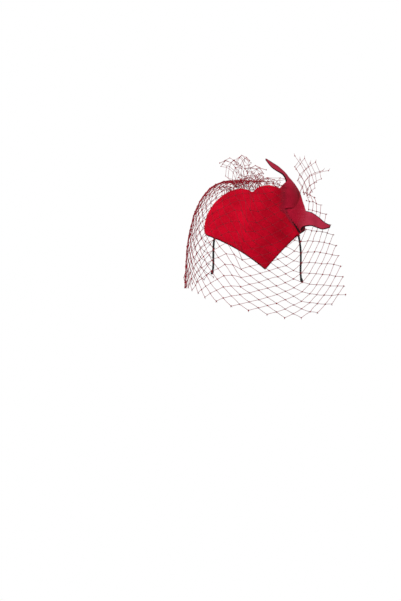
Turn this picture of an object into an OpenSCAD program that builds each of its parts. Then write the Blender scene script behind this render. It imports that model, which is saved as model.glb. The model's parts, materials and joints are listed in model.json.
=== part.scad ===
// Cocktail headpiece: a heart-shaped base with two curled tails, a diamond-net veil and a headband.
// Origin: the crown of the wearer's head, under the top of the headband. +Z is up, -Y is where the face
// looks and +X is the wearer's left. The base has a frame of its own: u across it, v from its point to its
// notch and n outwards.

/* [Base] */
// Half of the heart's width
half_w = 75; // [72:0.5:78]
// Distance from the base's centre to the heart's point
point_drop = 70; // [66:1:74]
// Radius of each lobe's shoulder beside the notch
shoulder_r = 25; // [23:1:28]
// Radius of the rounded corner between lobe and straight edge
corner_r = 12; // [8:1:16]
// Radius of the dome across the heart
dome_ru = 105; // [100:1:120]
// Radius of the dome along the heart
dome_rv = 150; // [140:1:170]
// Thickness of the felt cover
cover_t = 1.6; // [1.2:0.1:2]
// Thickness of the stiff foundation
foundation_t = 1.2; // [0.8:0.1:1.6]
// Thickness of the lining
lining_t = 0.6; // [0.4:0.1:0.9]
// Direction that the base faces, turned from straight ahead towards the wearer's left
base_azimuth = 39; // [38:0.5:40]
// Lean of the base's normal above the horizontal
base_elevation = 34; // [33:0.5:35]
// Turn of the heart in its own plane
base_roll = 4; // [3:0.5:5]

/* [Tails] */
// Thickness of a tail's red face
tail_face_t = 1.1; // [0.8:0.1:1.4]
// Thickness of a tail's black backing
tail_back_t = 0.8; // [0.6:0.1:1.1]
// Diameter of the shaping wire and of the edging cord
tail_wire_d = 1.0; // [0.8:0.1:1.2]

/* [Headband] */
// Half of the space between the arms at its widest
band_half = 74; // [72:1:76]
// Height of the band's arch, from its widest point to the crown
band_rise = 92; // [90:1:94]
// Depth of the out-turned tips below the crown
band_drop = 129; // [126:1:132]
// Width of the steel core
core_w = 3.2; // [2.8:0.1:3.6]
// Thickness of the steel core
core_t = 0.8; // [0.6:0.1:1]
// Thickness of the satin wrap round the core
wrap_t = 0.5; // [0.4:0.1:0.7]

/* [Veil] */
// Thickness that the net fills with its knots
net_t = 1.2; // [1:0.1:1.6]
// How far the front hem hangs below the crown
veil_drop = 141; // [137:1:145]
// How far out the net stands on the wearer's right
veil_right = 92; // [90:1:96]
// How far out the net stands at its free corner on the wearer's left
veil_left = 149; // [147:1:152]
// How far out the net stands in front
veil_front = 136; // [132:1:140]

/* [Hidden] */

felt_red = [0.72, 0.05, 0.12];
edge_black = [0.16, 0.03, 0.06];
net_red = [0.62, 0.12, 0.2];
satin_black = [0.03, 0.03, 0.035];
gap = 0.2;          // between sewn layers of one body
joint_gap = 0.5;    // between bodies that move apart

// ---- vectors, curves and outlines ----
function unit(v) = v / norm(v);
function mix(a, b, t) = a * (1 - t) + b * t;
function ease(x) = let (c = min(1, max(0, x))) c * c * (3 - 2 * c);
function bezier(p, t) =
    let (s = 1 - t) s * s * s * p[0] + 3 * s * s * t * p[1] + 3 * s * t * t * p[2] + t * t * t * p[3];
function along(list, t) =
    let (k = t * (len(list) - 1), i = min(floor(k), len(list) - 2)) mix(list[i], list[i + 1], k - i);
function turned(centre, r, a) = centre + r * [cos(a), sin(a)];
function arc(centre, r, from, to, steps) = [for (i = [0:steps]) turned(centre, r, mix(from, to, i / steps))];
function backwards(list) = [for (i = [len(list) - 1:-1:0]) list[i]];
function without_first(list) = [for (i = [1:len(list) - 1]) list[i]];
function steps(n) = [for (i = [0:n]) i / n];

// Faces between each ring of n points and the next; rings wind so that these faces look outwards
function wall(n, j, k, crossed = false) =
    [for (i = [0:n - 1]) let (a = j * n + i, b = j * n + (i + 1) % n, c = k * n + i, d = k * n + (i + 1) % n)
        each crossed ? [[a, c, d], [a, d, b]] : [[a, c, b], [b, c, d]]];

// A closed solid through a stack of rings that have the same even number of points; from one ring on its
// quads may be split the other way, so that a shell's inside has the same facets as its outside
module skin(rings, crossed_from = 1000) {
    n = len(rings[0]);
    last = len(rings) - 1;
    walls = [for (j = [0:last - 1]) each wall(n, j, j + 1, j >= crossed_from)];
    start = [for (i = [0:n / 2 - 2]) each [[i, i + 1, n - 1 - i], [i + 1, n - 2 - i, n - 1 - i]]];
    end = [for (i = [0:n / 2 - 2]) let (o = last * n)
        each [[o + i, o + n - 1 - i, o + i + 1], [o + i + 1, o + n - 1 - i, o + n - 2 - i]]];
    polyhedron(points = [for (ring = rings) each ring], faces = concat(walls, start, end), convexity = 10);
}

// A closed ring-shaped solid: the last ring joins the first
module looped_skin(rings) {
    n = len(rings[0]);
    count = len(rings);
    polyhedron(
        points = [for (ring = rings) each ring],
        faces = [for (j = [0:count - 1]) each wall(n, j, (j + 1) % count)],
        convexity = 10
    );
}

// A round rod of diameter d along a path of points, square to its own direction everywhere; a path that turns
// from level to upright is told so, and its rings are then held square to Y
module rod(path, d, sides = 6, level = false) {
    last = len(path) - 1;
    skin([for (i = [0:last])
        let (
            dir = unit(path[min(i + 1, last)] - path[max(i - 1, 0)]),
            side = unit(cross(dir, level ? [0, 1, 0] : abs(dir[2]) > 0.9 ? [1, 0, 0] : [0, 0, 1])),
            rise = cross(side, dir)
        )
        [for (a = [0:sides - 1]) path[i] + d / 2 * (side * cos(360 * a / sides) - rise * sin(360 * a / sides))]
    ]);
}

// ---- the base ----
base_origin = [45.5, -74, -33];
base_n = [sin(base_azimuth) * cos(base_elevation), -cos(base_azimuth) * cos(base_elevation), sin(base_elevation)];
level_u = [cos(base_azimuth), sin(base_azimuth), 0];
level_v = cross(base_n, level_u);
base_u = level_u * cos(base_roll) + level_v * sin(base_roll);
base_v = cross(base_n, base_u);

// Over the notch side of the left lobe the felt lifts into the upper tail, and beside the slit it drops
lobe_lift = [40, 58, 24, 9];     // u, v, radius, height
lobe_drop = [76, 22, 30, -17];
function swell(b, p) = b[3] * exp(-pow(norm(p - [b[0], b[1]]) / b[2], 2));
function dome_n(p) =
    swell(lobe_lift, p) + swell(lobe_drop, p) - p[0] * p[0] / (2 * dome_ru) - p[1] * p[1] / (2 * dome_rv);
function on_base(p, n) = base_origin + p[0] * base_u + p[1] * base_v + n * base_n;
function dome(p, off) = on_base(p, dome_n(p) + off);

// Outline of the heart: shoulder, side, corner and straight edge of one half, then the same mirrored
shoulder_c = [21, 36];
side_c = [8 + half_w - 75, -5];
side_r = norm(shoulder_c - side_c) + shoulder_r;
side_from = atan2(shoulder_c[1] - side_c[1], shoulder_c[0] - side_c[0]);
side_to = 8;
corner_c = turned(side_c, side_r - corner_r, side_to);
heart_point = [0, -point_drop];
to_point = heart_point - corner_c;
corner_to = atan2(to_point[1], to_point[0]) + acos(corner_r / norm(to_point));
notch_a = atan2(sqrt(shoulder_r * shoulder_r - shoulder_c[0] * shoulder_c[0]), -shoulder_c[0]);
straight_steps = 6;
half_outline = concat(
    arc(shoulder_c, shoulder_r, notch_a, side_from, 4),
    without_first(arc(side_c, side_r, side_from, side_to, 8)),
    without_first(arc(corner_c, corner_r, side_to, corner_to, 3)),
    [for (i = [1:straight_steps]) mix(turned(corner_c, corner_r, corner_to), heart_point, i / straight_steps)]
);
other_half = [for (i = [len(half_outline) - 2:-1:1]) [-half_outline[i][0], half_outline[i][1]]];
heart_outline = concat(half_outline, other_half);

shell_steps = [0.03, 0.2, 0.38, 0.55, 0.7, 0.83, 0.93];
foundation_top = -cover_t - gap;
foundation_bottom = foundation_top - foundation_t;
lining_top = foundation_bottom - gap;
lining_bottom = lining_top - lining_t;
foundation_edge = 0.952;
binding_edge = 0.978;
rim_wire_d = 1;

// A shell that follows the dome between two offsets, out to a fraction of the heart's outline
module base_shell(top, bottom, edge) {
    rings = [for (f = shell_steps) if (f < edge) f, edge];
    skin(concat(
        [for (f = rings) [for (p = heart_outline) dome(p * f, top)]],
        [for (f = backwards(rings)) [for (p = heart_outline) dome(p * f, bottom)]]
    ), len(rings));
}

module heart_cover() {
    color(felt_red) base_shell(0, -cover_t, 1);
}
module heart_foundation() {
    color("ivory") base_shell(foundation_top, foundation_bottom, foundation_edge);
}
module heart_lining() {
    color(satin_black) base_shell(lining_top, lining_bottom, foundation_edge);
}
module rim_wire() {
    middle = (foundation_edge + binding_edge) / 2;
    half = rim_wire_d / 2 / half_w;
    color("silver") looped_skin([for (p = heart_outline)
        [for (a = [0:60:300]) dome(p * (middle + half * cos(a)), foundation_top - rim_wire_d * (0.6 - sin(a) / 2))]
    ]);
}
module rim_binding() {
    color(edge_black) looped_skin([for (p = heart_outline) [
        dome(p * binding_edge, foundation_top), dome(p * binding_edge, lining_bottom),
        dome(p, lining_bottom), dome(p, foundation_top)
    ]]);
}

// ---- the tails: each a pair of edge lines from its root to its tip, with the surface crowned between them ----
upper_inner = [
    [61, -31, -21], [56, -18, -4], [52, -8, 6], [49, 0, 14], [46, 4, 21],
    [40, 6, 27.5], [28.5, 7, 33], [19.5, 8, 38.5], [10, 8, 49]
];
upper_outer = [
    [74, 12, -25], [67.5, 14, -7.5], [62.5, 15, 2.5], [55, 14, 14], [47.5, 13, 22],
    [40, 12, 30.5], [31, 11, 38], [21, 10, 44], [9.5, 9, 50.5]
];
lower_inner = [
    [81, -31, -58], [86.5, -29, -54], [94.5, -35.5, -44.5], [108, -38.5, -41.5],
    [115.5, -34.5, -44], [123.5, -32.5, -46], [133, -29.5, -43.5]
];
lower_outer = [
    [57, -30, -24], [73.5, -21, -20.5], [91, -23.5, -22.5], [106, -32.5, -24],
    [115.5, -31.5, -29.5], [125.5, -30.5, -37], [134, -29.5, -40.5]
];
upper_tail = [upper_inner, upper_outer];
lower_tail = [lower_inner, lower_outer];
upper_crown = 8;          // how far the root of the upper tail bulges between its edges
lower_crown = 3;
tail_seat = 1.5;          // height of the lower tail's middle above the cover it is stitched to
tail_rings = 24;
tail_end = 0.985;

// The point a share t along a smooth line through a list of points
function smooth_at(list, t) =
    let (
        last = len(list) - 1, k = t * last, i = min(floor(k), last - 1), f = k - i,
        a = list[max(i - 1, 0)], b = list[i], c = list[i + 1], d = list[min(i + 2, last)]
    )
    0.5 * (2 * b + (c - a) * f + (2 * a - 5 * b + 4 * c - d) * f * f + (3 * b - a - 3 * c + d) * f * f * f);
function tail_mid(tail, t) = (smooth_at(tail[0], t) + smooth_at(tail[1], t)) / 2;
function tail_half(tail, t) = (smooth_at(tail[1], t) - smooth_at(tail[0], t)) / 2;
function tail_dir(tail, t) = unit(tail_mid(tail, min(1, t + 0.03)) - tail_mid(tail, max(0, t - 0.03)));
function tail_up(tail, t) = unit(cross(tail_dir(tail, t), tail_half(tail, t)));
function tail_at(tail, crown, t, side, off) =
    let (
        up = tail_up(tail, t),
        p = tail_mid(tail, t) + side * tail_half(tail, t) + crown * (1 - side * side) * (1 - ease(2 * t)) * up
    )
    p + off * up + (tail == lower_tail ? seat_lift(p) * base_n : [0, 0, 0]);
// How far the lower tail is held up, so that its root lies on the cover instead of sinking into it
function seat_lift(p) =
    let (d = p - base_origin, sunk = tail_seat + dome_n([d * base_u, d * base_v]) - d * base_n)
    (sunk + sqrt(sunk * sunk + 1)) / 2;

// One layer of a tail between two distances from the middle of its thickness, on one side of it
module tail_layer(tail, crown, near, far) {
    sides = [-1, -0.6, -0.2, 0.2, 0.6, 1];
    skin([for (i = [0:tail_rings]) let (t = mix(0.01, tail_end, i / tail_rings)) concat(
        [for (s = sides) tail_at(tail, crown, t, s, min(near, far))],
        [for (s = backwards(sides)) tail_at(tail, crown, t, s, max(near, far))]
    )]);
}
// The cord that closes the edges: out along one side and back along the other
module tail_edging(tail, crown) {
    inset = 0.92;
    rod(concat(
        [for (t = steps(22)) tail_at(tail, crown, mix(0.03, 0.97, t), -inset, 0)],
        [for (t = backwards(steps(22))) tail_at(tail, crown, mix(0.03, 0.97, t), inset, 0)]
    ), tail_wire_d - 2 * gap);
}
module tail_wire(tail, crown) {
    rod([for (t = steps(22)) tail_at(tail, crown, mix(0.04, 0.9, t), 0, 0)], tail_wire_d - 2 * gap);
}
tail_core = tail_wire_d / 2;
tail_front = tail_core + tail_face_t;
tail_back = tail_core + tail_back_t;

// The upper tail shows the side that its normal points away from, so its distances are negative
module upper_tail_face() {
    color(felt_red) tail_layer(upper_tail, -upper_crown, -tail_core, -tail_front);
}
module upper_tail_backing() {
    color(satin_black) tail_layer(upper_tail, -upper_crown, tail_core, tail_back);
}
module upper_tail_wire() {
    color("silver") tail_wire(upper_tail, -upper_crown);
}
module upper_tail_edging() {
    color(edge_black) tail_edging(upper_tail, -upper_crown);
}
module lower_tail_face() {
    color(felt_red) tail_layer(lower_tail, lower_crown, tail_core, tail_front);
}
module lower_tail_backing() {
    color(satin_black) tail_layer(lower_tail, lower_crown, -tail_core, -tail_back);
}
module lower_tail_wire() {
    color("silver") tail_wire(lower_tail, lower_crown);
}
module lower_tail_edging() {
    color(edge_black) tail_edging(lower_tail, lower_crown);
}
// A row of stitches that hold the lower tail's root along the slit
slit_from = [44, 19];
slit_to = [60, -16];
module tail_stitches() {
    color(edge_black) for (t = [0.15, 0.38, 0.62, 0.85]) {
        foot = mix(slit_from, slit_to, t);
        rod([dome(foot, 0.15), dome(foot + [-1.2, -0.6], 0.7), dome(foot + [-2.4, -1.2], 0.15)], 0.7);
    }
}

// ---- the headband: its inner line from the crown (s = 0) to the wearer's left tip (s = 1) ----
arch_share = 0.7;
arm_curve = [
    [band_half, -band_rise], [band_half + 0.4, -band_rise - 15],
    [band_half - 1.4, -band_rise - 26], [band_half + 3, -band_drop]
];
function band_left(s) = s <= arch_share
    ? let (a = 90 * (1 - s / arch_share)) [band_half * cos(a), band_rise * sin(a) - band_rise]
    : bezier(arm_curve, (s - arch_share) / (1 - arch_share));
function band_line(s) = s >= 0 ? band_left(s) : let (p = band_left(-s)) [-p[0], p[1]];
function band_out(s) =
    let (d = band_line(s + 0.004) - band_line(s - 0.004)) [-d[1], d[0]] / norm(d);
function band_edge(from, to, n, off) =
    [for (i = [0:n]) let (s = mix(from, to, i / n)) band_line(s) + off * band_out(s)];

// A strip of the band between two distances from the head, cut square at both ends
module band_strip(from, to, inner, outer, width, n) {
    rotate([90, 0, 0]) translate([0, 0, -width / 2]) linear_extrude(width)
        polygon(concat(band_edge(from, to, n, inner), backwards(band_edge(from, to, n, outer))));
}
fit = 0.05;                                   // between the core and its wrap
wrap_w = core_w + 2 * (wrap_t + fit);
band_t = core_t + 2 * (wrap_t + fit);
pivot_s = 0.575;                              // where an arm flexes, just below the base

module band_core(from, to, n) {
    band_strip(from, to, wrap_t + fit, wrap_t + fit + core_t, core_w, n);
}
module band_wrap(from, to, n) {
    difference() {
        band_strip(from, to, 0, band_t, wrap_w, n);
        band_strip(from - 0.01, to + 0.01, wrap_t, band_t - wrap_t, core_w + 2 * fit, n);
    }
}
crown_steps = 36;
arm_steps = 16;
pivot_gap = 0.0025;
module band_core_crown() {
    color("silver") band_core(-pivot_s + pivot_gap, pivot_s - pivot_gap, crown_steps);
}
module band_core_left() {
    color("silver") band_core(pivot_s, 0.985, arm_steps);
}
module band_core_right() {
    color("silver") mirror([1, 0, 0]) band_core(pivot_s, 0.985, arm_steps);
}
module band_wrap_crown() {
    color(satin_black) band_wrap(-pivot_s + pivot_gap, pivot_s - pivot_gap, crown_steps);
}
module band_wrap_left() {
    color(satin_black) band_wrap(pivot_s, 0.99, arm_steps);
}
module band_wrap_right() {
    color(satin_black) mirror([1, 0, 0]) band_wrap(pivot_s, 0.99, arm_steps);
}
// A closed cap over the last part of an arm
cap_t = 0.5;
module tip_cap() {
    difference() {
        band_strip(0.945, 1, -cap_t - fit, band_t + cap_t + fit, wrap_w + 2 * (cap_t + fit), 4);
        band_strip(0.935, 0.992, -fit, band_t + fit, wrap_w + 2 * fit, 4);
    }
}
module left_tip_cap() {
    color(satin_black) tip_cap();
}
module right_tip_cap() {
    color(satin_black) mirror([1, 0, 0]) tip_cap();
}
// Ribbon-covered tabs from the base's underside down to the band, which they are sewn to
keeper_seats = [[62, 36], [71, 20]];
keeper_bands = [0.33, 0.42];
module band_keepers() {
    color(satin_black) for (i = [0, 1]) {
        top = dome(keeper_seats[i] * 0.9, lining_bottom - gap - 1);
        foot_2d = band_line(keeper_bands[i]) + (band_t + gap + 1) * band_out(keeper_bands[i]);
        foot = [foot_2d[0], 0, foot_2d[1]];
        middle = (top + foot) / 2 + [2, 3, 0];
        rod([for (t = steps(6)) bezier([top, mix(top, middle, 0.6), mix(foot, middle, 0.6), foot], t)], 2, 8, true);
    }
}

// ---- the veil: the net's shape at a share q from its right edge to its left one, and t from gathers to hem ----
hem_points = [
    [8 - veil_right, 16, 6 - veil_drop], [-veil_right, -24, 2 - veil_drop], [13 - veil_right, -72, 2 - veil_drop],
    [-44, 19 - veil_front, 10 - veil_drop], [8, -veil_front, -veil_drop], [64, 18 - veil_front, -14 - veil_drop],
    [veil_left - 35, -66, -25 - veil_drop], [veil_left, -8, 2 - veil_drop]
];
gather_curve = [[-32, 2, 4], [-14, -14, 16], [62, -34, 24], [84, -4, -2]];
function gather_line(q) = bezier(gather_curve, q);
// The net rises over the base before it falls; towards its left edge it falls almost straight
function veil_path(q) =
    let (
        top = gather_line(q),
        hem = smooth_at(hem_points, q),
        flare = ease((q - 0.58) / 0.42),
        shoulder = mix(top, hem, 0.6 - 0.25 * flare),
        side = mix(top, hem, 0.98 - 0.2 * flare)
    )
    [top, [shoulder[0], shoulder[1], 30 - 24 * flare], [side[0], side[1], 2 - 62 * flare], hem];
// Points a thickness further out lie away from the middle of the head
head_middle = [8, -22, -90];
function veil_at(q, t, off) = let (p = bezier(veil_path(q), t)) p + off * unit(p - head_middle);

veil_rows = 14;
module veil_sheet(from, to, top, columns) {
    skin([for (i = [0:columns]) let (q = mix(from, to, i / columns)) concat(
        [for (t = steps(veil_rows)) veil_at(q, mix(top, 1, t), net_t)],
        [for (t = backwards(steps(veil_rows))) veil_at(q, mix(top, 1, t), 0)]
    )]);
}
// Room round the lower tail, where it stands out through the net
module tail_room() {
    sides = [-1.25, -0.4, 0.4, 1.25];
    room = tail_front + 1.2;
    skin([for (i = [0:tail_rings]) let (t = mix(0.05, 1, i / tail_rings)) concat(
        [for (s = sides) tail_at(lower_tail, lower_crown, t, s, -room)],
        [for (s = backwards(sides)) tail_at(lower_tail, lower_crown, t, s, room)]
    )]);
}
// The veil lifts about a line across the crown, and everything behind that line stays with the base
lift_y = -26;
crown_right = 0.14;
crown_left = 0.84;
far = 400;
module behind_lift() {
    translate([-far / 2, lift_y + joint_gap, -far / 2]) cube(far);
}
module ahead_of_lift() {
    translate([-far / 2, lift_y - joint_gap - far, -far / 2]) cube(far);
}
// The part that lifts is one net; its shell is divided at two places
visor_right = 0.33;
visor_left = 0.62;
seam = 0.00015;           // share left open between the divided shells
module veil_visor(from, to, columns) {
    color(net_red, 0.4) difference() {
        intersection() {
            veil_sheet(from, to, 0.02, columns);
            ahead_of_lift();
        }
        tail_room();
    }
}
module veil_visor_right() {
    veil_visor(0, visor_right - seam, 12);
}
module veil_visor_front() {
    veil_visor(visor_right + seam, visor_left - seam, 14);
}
module veil_visor_left() {
    veil_visor(visor_left + seam, 1, 14);
}
module veil_crown() {
    color(net_red, 0.4) intersection() {
        veil_sheet(crown_right, crown_left, 0.02, 20);
        behind_lift();
    }
}
module veil_left_panel() {
    color(net_red, 0.4) difference() {
        intersection() {
            veil_sheet(crown_left, 1, 0.02, 12);
            behind_lift();
        }
        tail_room();
    }
}
module veil_right_panel() {
    color(net_red, 0.4) veil_sheet(0, crown_right, 0.02, 8);
}
// The bunched net behind the notch: a tube whose thickness waves along the gathering line
bunch_t = 6;
bunch_drop = [0, 1, -bunch_t / 2 - 1];
bunch_from = 0.03;
bunch_to = 0.58;
module veil_gathers() {
    waves = 6;
    color(net_red) skin([for (i = [0:30]) let (
            mid = gather_line(mix(bunch_from, bunch_to, i / 30)) + bunch_drop,
            r = bunch_t / 2 * (0.85 + 0.15 * sin(360 * waves * i / 30))
        )
        [for (a = [0:45:315]) mid + [0, r * cos(a), r * sin(a)]]
    ]);
}
module gathering_thread() {
    color(net_red) rod(
        [for (t = steps(12)) gather_line(mix(bunch_from, bunch_to, t)) + bunch_drop - [0, 0, bunch_t / 2 + 0.5]], 0.7);
}
// A fan of net that stands up: its root, its top, and half its width at each
module tuft(root, top, root_half, top_half, thick) {
    skin([for (t = steps(6)) let (
            mid = mix(root, top, t),
            half = mix(root_half, top_half, t),
            side = unit(cross(top - root, [0, 1, 0])),
            deep = unit(cross(side, top - root))
        )
        [for (a = [0:30:330]) mid + side * half * cos(a) - deep * thick / 2 * sin(a)]
    ]);
}
module left_tuft() {
    color(net_red) tuft([-12, 2, 10], [-16, -4, 50], 18, 32, 6);
}
module right_tuft() {
    color(net_red) tuft([77, 4, 2], [84, 10, 52], 5, 18, 6);
}
// Thread bars that tie the gathers and the right tuft down
module veil_tacks() {
    color(satin_black) {
        for (x = [-20, 0, 20]) let (
                band = band_rise * (sqrt(1 - pow(x / band_half, 2)) - 1) + band_t,
                bunch = bezier(gather_curve, (x + 30) / 125)
            )
            rod([[x, -1, band + 0.6], [x, -4, band + 2], bunch + bunch_drop + [0, 0.5, -bunch_t / 2 - 1.4]], 0.8);
    }
}

heart_cover();
heart_foundation();
heart_lining();
rim_wire();
rim_binding();
upper_tail_face();
upper_tail_backing();
upper_tail_wire();
upper_tail_edging();
lower_tail_face();
lower_tail_backing();
lower_tail_wire();
lower_tail_edging();
tail_stitches();
band_core_crown();
band_core_left();
band_core_right();
band_wrap_crown();
band_wrap_left();
band_wrap_right();
left_tip_cap();
right_tip_cap();
band_keepers();
veil_visor_right();
veil_visor_front();
veil_visor_left();
veil_crown();
veil_left_panel();
veil_right_panel();
veil_gathers();
gathering_thread();
left_tuft();
right_tuft();
veil_tacks();
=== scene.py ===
"""Looks of the fascinator headpiece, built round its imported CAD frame.

Shapes repeat the formulas of the CAD source in millimetres; meshes are made in metres.
"""
import json
import math

import bmesh
import bpy
import numpy as np
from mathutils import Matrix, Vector


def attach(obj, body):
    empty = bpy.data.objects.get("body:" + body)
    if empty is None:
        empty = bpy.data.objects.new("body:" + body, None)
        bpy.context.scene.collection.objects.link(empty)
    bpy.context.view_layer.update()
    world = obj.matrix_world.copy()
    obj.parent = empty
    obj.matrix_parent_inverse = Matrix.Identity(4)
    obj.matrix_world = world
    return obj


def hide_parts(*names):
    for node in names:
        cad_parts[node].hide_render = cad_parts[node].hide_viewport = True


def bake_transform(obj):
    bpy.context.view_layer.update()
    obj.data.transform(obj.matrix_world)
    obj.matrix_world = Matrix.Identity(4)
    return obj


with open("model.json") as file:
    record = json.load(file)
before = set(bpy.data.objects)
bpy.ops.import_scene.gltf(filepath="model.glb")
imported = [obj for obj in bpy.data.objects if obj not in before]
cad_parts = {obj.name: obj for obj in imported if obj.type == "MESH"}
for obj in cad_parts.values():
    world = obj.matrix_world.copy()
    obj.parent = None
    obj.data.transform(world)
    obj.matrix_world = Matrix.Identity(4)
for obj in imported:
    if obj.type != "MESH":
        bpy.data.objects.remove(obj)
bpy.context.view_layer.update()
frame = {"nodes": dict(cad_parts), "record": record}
MM = 0.001
rng = np.random.default_rng(11)


def new_object(name, data):
    obj = bpy.data.objects.new(name, data)
    bpy.context.scene.collection.objects.link(obj)
    return obj


def point_at(obj, place, target):
    obj.location = place
    obj.rotation_mode = "QUATERNION"
    obj.rotation_quaternion = (Vector(target) - Vector(place)).to_track_quat("-Z", "Y")


# ---- camera ----
def camera():
    azimuth, elevation, distance = math.radians(29), math.radians(7), 1.3
    target = np.array([0, -0.012, -0.098])
    back = np.array([
        math.sin(azimuth) * math.cos(elevation), -math.cos(azimuth) * math.cos(elevation), math.sin(elevation)
    ])
    right = np.array([math.cos(azimuth), math.sin(azimuth), 0])
    up = np.cross(back, right)
    cam = new_object("camera", bpy.data.cameras.new("camera"))
    # the object stands above and to the right of the frame's middle
    point_at(cam, target + distance * back, target - 0.0765 * right - 0.063 * up)
    cam.data.lens = 51.9
    cam.data.sensor_width = 36
    cam.data.clip_start, cam.data.clip_end = 0.05, 50
    bpy.context.scene.camera = cam


camera()
bpy.context.scene.view_settings.view_transform = "Standard"


# ---- vectors, curves and the base's own frame, as in the CAD ----
def unit(v):
    v = np.asarray(v, float)
    return v / np.linalg.norm(v, axis=-1, keepdims=True)


def mix(a, b, t):
    return np.asarray(a, float) * (1 - t) + np.asarray(b, float) * t


def ease(x):
    c = np.clip(x, 0, 1)
    return c * c * (3 - 2 * c)


def bezier(p, t):
    t = np.asarray(t, float)[..., None]
    s = 1 - t
    p = [np.asarray(q, float) for q in p]
    return s ** 3 * p[0] + 3 * s * s * t * p[1] + 3 * s * t * t * p[2] + t ** 3 * p[3]


def smooth_at(points, t):
    """The point a share t along a smooth line through points."""
    points = np.asarray(points, float)
    last = len(points) - 1
    k = np.clip(np.asarray(t, float), 0, 1) * last
    i = np.minimum(k.astype(int), last - 1)
    f = (k - i)[..., None]
    a, b = points[np.maximum(i - 1, 0)], points[i]
    c, d = points[i + 1], points[np.minimum(i + 2, last)]
    return 0.5 * (
        2 * b + (c - a) * f + (2 * a - 5 * b + 4 * c - d) * f ** 2 + (3 * b - a - 3 * c + d) * f ** 3
    )


def turned(centre, r, degrees):
    a = np.radians(degrees)
    return np.stack([centre[0] + r * np.cos(a), centre[1] + r * np.sin(a)], -1)


def along_line(points, count):
    """count + 1 points evenly spaced along a line of straight pieces."""
    points = np.asarray(points, float)
    arc = np.concatenate([[0], np.cumsum(np.linalg.norm(np.diff(points, axis=0), axis=1))])
    at = np.linspace(0, arc[-1], count + 1)
    return np.stack([np.interp(at, arc, points[:, k]) for k in range(points.shape[1])], -1)


AZ, EL, ROLL = np.radians([39, 34, 4])
BASE_ORIGIN = np.array([45.5, -74, -33])
BASE_N = np.array([np.sin(AZ) * np.cos(EL), -np.cos(AZ) * np.cos(EL), np.sin(EL)])
LEVEL_U = np.array([np.cos(AZ), np.sin(AZ), 0])
BASE_U = LEVEL_U * np.cos(ROLL) + np.cross(BASE_N, LEVEL_U) * np.sin(ROLL)
BASE_V = np.cross(BASE_N, BASE_U)
COVER_T, FOUNDATION_T, LINING_T, GAP = 1.6, 1.2, 0.6, 0.2
LINING_TOP = -COVER_T - FOUNDATION_T - 2 * GAP
LINING_BOTTOM = LINING_TOP - LINING_T


def swell(p, u, v, radius, height):
    return height * np.exp(-((p[..., 0] - u) ** 2 + (p[..., 1] - v) ** 2) / radius ** 2)


def dome_n(p):
    return (swell(p, 40, 58, 24, 9) + swell(p, 76, 22, 30, -17)
            - p[..., 0] ** 2 / 210 - p[..., 1] ** 2 / 300)


def on_base(p, n):
    p = np.asarray(p, float)
    n = np.broadcast_to(n, p.shape[:-1])
    return BASE_ORIGIN + p[..., :1] * BASE_U + p[..., 1:2] * BASE_V + n[..., None] * BASE_N


def dome(p, off=0.0):
    p = np.asarray(p, float)
    return on_base(p, dome_n(p) + off)


def base_uv(points):
    d = points - BASE_ORIGIN
    return np.stack([d @ BASE_U, d @ BASE_V], -1)


def heart_half(count):
    """The outline from the notch round the wearer's left lobe down to the point."""
    shoulder, side = np.array([21, 36]), np.array([8, -5])
    side_r = np.linalg.norm(shoulder - side) + 25
    side_from = math.degrees(math.atan2(shoulder[1] - side[1], shoulder[0] - side[0]))
    corner = turned(side, side_r - 12, 8)
    point = np.array([0, -70])
    to = point - corner
    corner_to = math.degrees(math.atan2(to[1], to[0]) + math.acos(12 / np.linalg.norm(to)))
    notch = math.degrees(math.atan2(math.sqrt(25 ** 2 - 21 ** 2), -21))
    pieces = [
        turned(shoulder, 25, np.linspace(notch, side_from, 60)),
        turned(side, side_r, np.linspace(side_from, 8, 120))[1:],
        turned(corner, 12, np.linspace(8, corner_to, 40))[1:],
        np.array([turned(corner, 12, corner_to), point])[1:],
    ]
    return along_line(np.vstack(pieces), count)


def heart_outline(half_count):
    half = heart_half(half_count)
    return np.vstack([half, half[-2:0:-1] * [-1, 1]])


OUTLINE = heart_outline(180)


# ---- mesh helpers ----
def mesh_object(name, verts, faces, material):
    mesh = bpy.data.meshes.new(name)
    mesh.from_pydata((np.asarray(verts) * MM).tolist(), [], [tuple(int(i) for i in f) for f in faces])
    mesh.validate()
    mesh.polygons.foreach_set("use_smooth", [True] * len(mesh.polygons))
    mesh.materials.append(material)
    return new_object(name, mesh)


def outward(obj):
    bm = bmesh.new()
    bm.from_mesh(obj.data)
    bmesh.ops.recalc_face_normals(bm, faces=bm.faces)
    bm.to_mesh(obj.data)
    bm.free()


def applied(obj):
    """Applies every modifier of obj to its mesh."""
    dg = bpy.context.evaluated_depsgraph_get()
    made = bpy.data.meshes.new_from_object(obj.evaluated_get(dg))
    old = obj.data
    obj.modifiers.clear()
    obj.data = made
    bpy.data.meshes.remove(old)
    return obj


def smoothed(obj, rounds, factor=0.5, group=""):
    soft = obj.modifiers.new("smooth", "SMOOTH")
    soft.factor, soft.iterations, soft.vertex_group = factor, rounds, group
    return applied(obj)


def remeshed(obj, voxel, rounds):
    mod = obj.modifiers.new("voxels", "REMESH")
    mod.mode, mod.voxel_size, mod.use_smooth_shade = "VOXEL", voxel * MM, True
    return smoothed(applied(obj), rounds)


def grid_faces(rows, columns, offset=0, closed=False, flip=False):
    """Quads of a grid of points, its columns joined round if closed."""
    faces = []
    for j in range(rows - 1):
        for i in range(columns if closed else columns - 1):
            h = (i + 1) % columns
            quad = (j * columns + i, j * columns + h, (j + 1) * columns + h, (j + 1) * columns + i)
            faces.append(tuple(offset + k for k in (quad[::-1] if flip else quad)))
    return faces


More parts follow.
